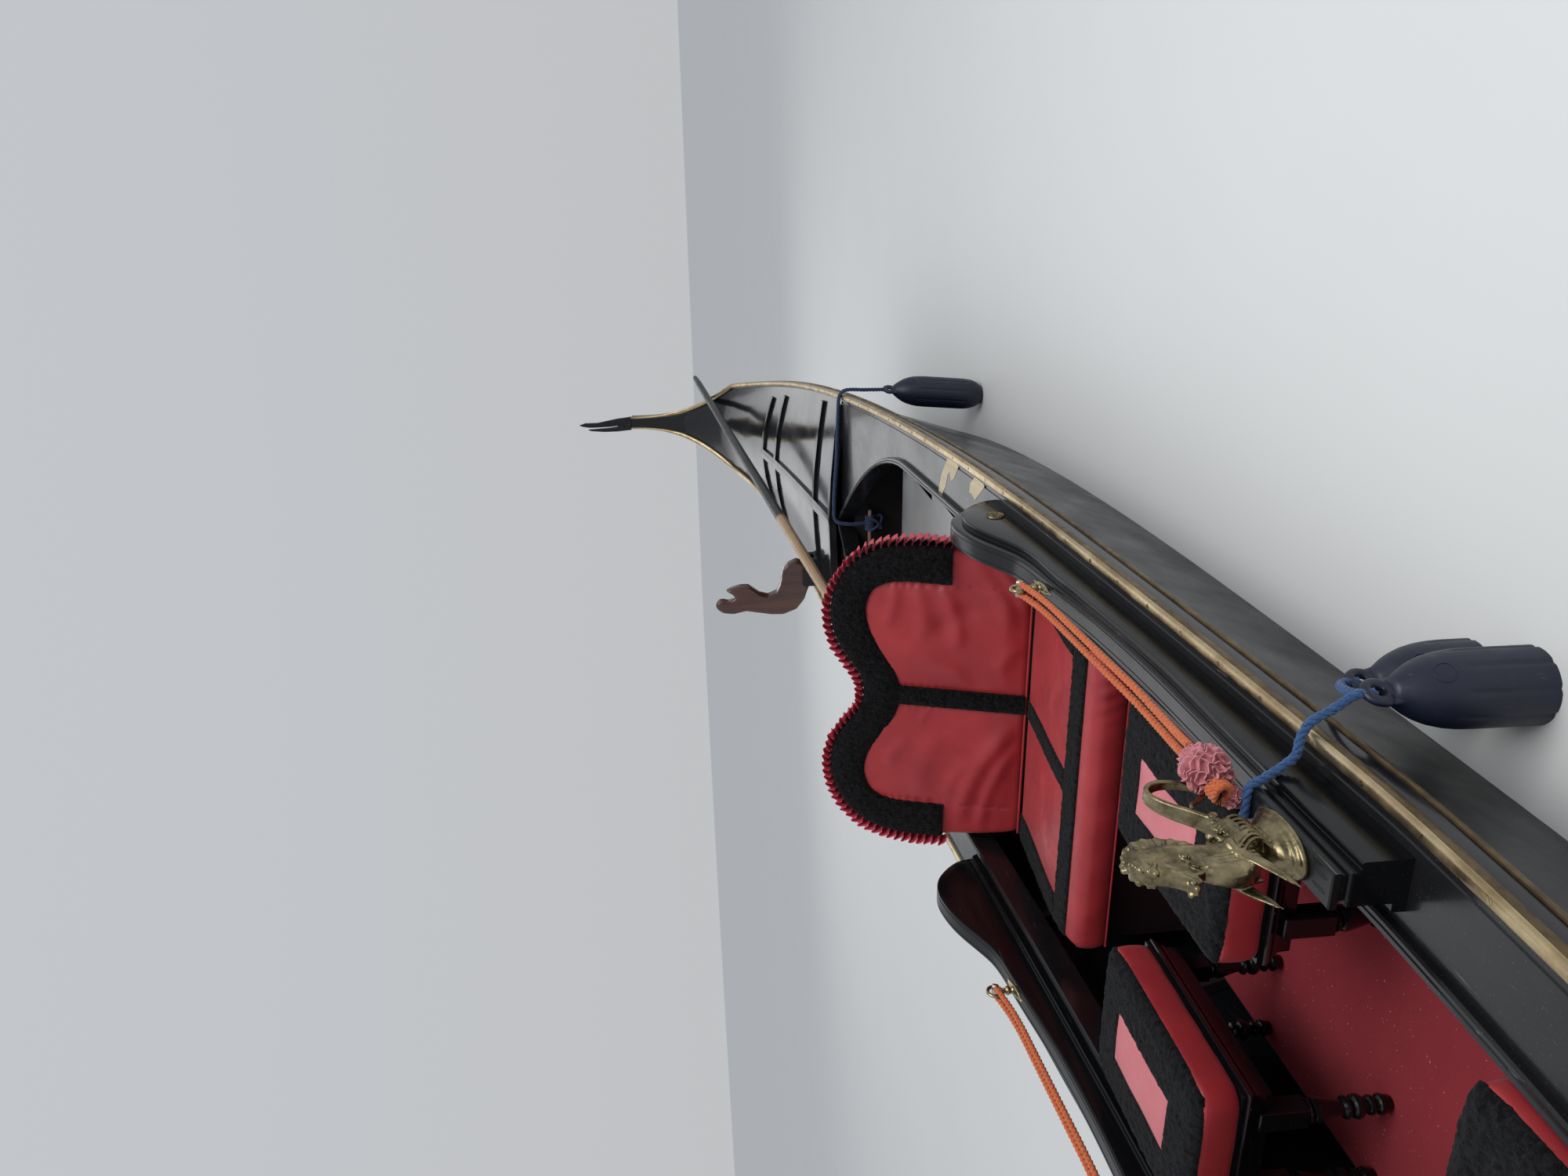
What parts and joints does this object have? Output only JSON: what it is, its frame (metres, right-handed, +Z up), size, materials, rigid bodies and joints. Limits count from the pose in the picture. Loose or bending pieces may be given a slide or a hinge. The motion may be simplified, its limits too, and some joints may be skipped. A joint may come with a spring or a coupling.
{
  "type": "gondola boat",
  "caption": "Black rowed canal boat with an upswept stern, a comb-shaped bow iron, a two-lobed red seat, stools, brass sea horses, side rails, oar crutch, oar and fenders.",
  "frame": {"origin": "amidships on the centreline, at the waterline", "axes": "+X to the bow, +Y to port, +Z up"},
  "size_m": [11.1009, 1.5468, 2.1917],
  "materials": {
    "black_lacquer": "glossy black lacquer",
    "dark_inside": "satin dark brown-black paint",
    "brass": "aged brass, satin",
    "steel": "polished steel plate",
    "black_iron": "black iron",
    "red_vinyl": "satin red leathercloth",
    "carpet": "red carpet",
    "walnut": "oiled walnut",
    "ash": "varnished pale wood, black loom",
    "orange_rope": "braided orange cord",
    "blue_rope": "laid blue rope",
    "pompom": "ruffled dusty pink ribbon",
    "fender_navy": "navy blue vinyl"
  },
  "bodies": {
    "root": {"bottom_planking": "black_lacquer", "side_port_aft": "black_lacquer", "side_port_fore": "black_lacquer", "side_starboard_aft": "black_lacquer", "side_starboard_fore": "black_lacquer", "stern_post": "black_lacquer", "stem_post": "black_lacquer", "gunwale_strake_port": "black_lacquer", "gunwale_strake_starboard": "black_lacquer", "aft_deck": "black_lacquer", "fore_deck": "black_lacquer", "side_deck_port": "black_lacquer", "side_deck_starboard": "black_lacquer", "bridge_deck": "black_lacquer", "well_thwart": "black_lacquer", "side_rail_port": "black_lacquer", "side_rail_starboard": "black_lacquer", "aft_deck_rails": "black_lacquer", "forcola_block": "black_lacquer", "stool_frame_starboard_aft": "black_lacquer", "stool_frame_port_aft": "black_lacquer", "stool_frame_port_fore": "black_lacquer", "stool_frame_starboard_fore": "black_lacquer", "bulkhead_aft": "dark_inside", "bulkhead_fore": "dark_inside", "bulkhead_seat": "dark_inside", "floor_frames": "dark_inside", "floor_boards": "dark_inside", "seat_base": "dark_inside", "seat_back_board": "dark_inside", "brass_strip_port": "brass", "brass_strip_starboard": "brass", "sea_horse_port": "brass", "sea_horse_starboard": "brass", "rope_eye_port": "brass", "rope_eye_starboard": "brass", "seat_cushion": "red_vinyl", "seat_back_cushion": "red_vinyl", "stool_cushion_starboard_aft": "red_vinyl", "stool_cushion_port_aft": "red_vinyl", "stool_cushion_port_fore": "red_vinyl", "stool_cushion_starboard_fore": "red_vinyl", "carpet": "carpet", "forcola": "walnut", "mooring_pin": "walnut", "oar": "ash", "stern_iron": "black_iron", "bow_iron": "steel", "pompom_port": "pompom", "pompom_starboard": "pompom", "orange_rope_port_inner": "orange_rope", "orange_rope_port_outer": "orange_rope", "orange_rope_starboard_inner": "orange_rope", "orange_rope_starboard_outer": "orange_rope", "fender_aft": "fender_navy", "fender_fore": "fender_navy", "fender_mid": "fender_navy", "fender_rope_aft": "blue_rope", "fender_rope_fore": "blue_rope", "fender_rope_mid": "blue_rope"}
  },
  "joints": []
}
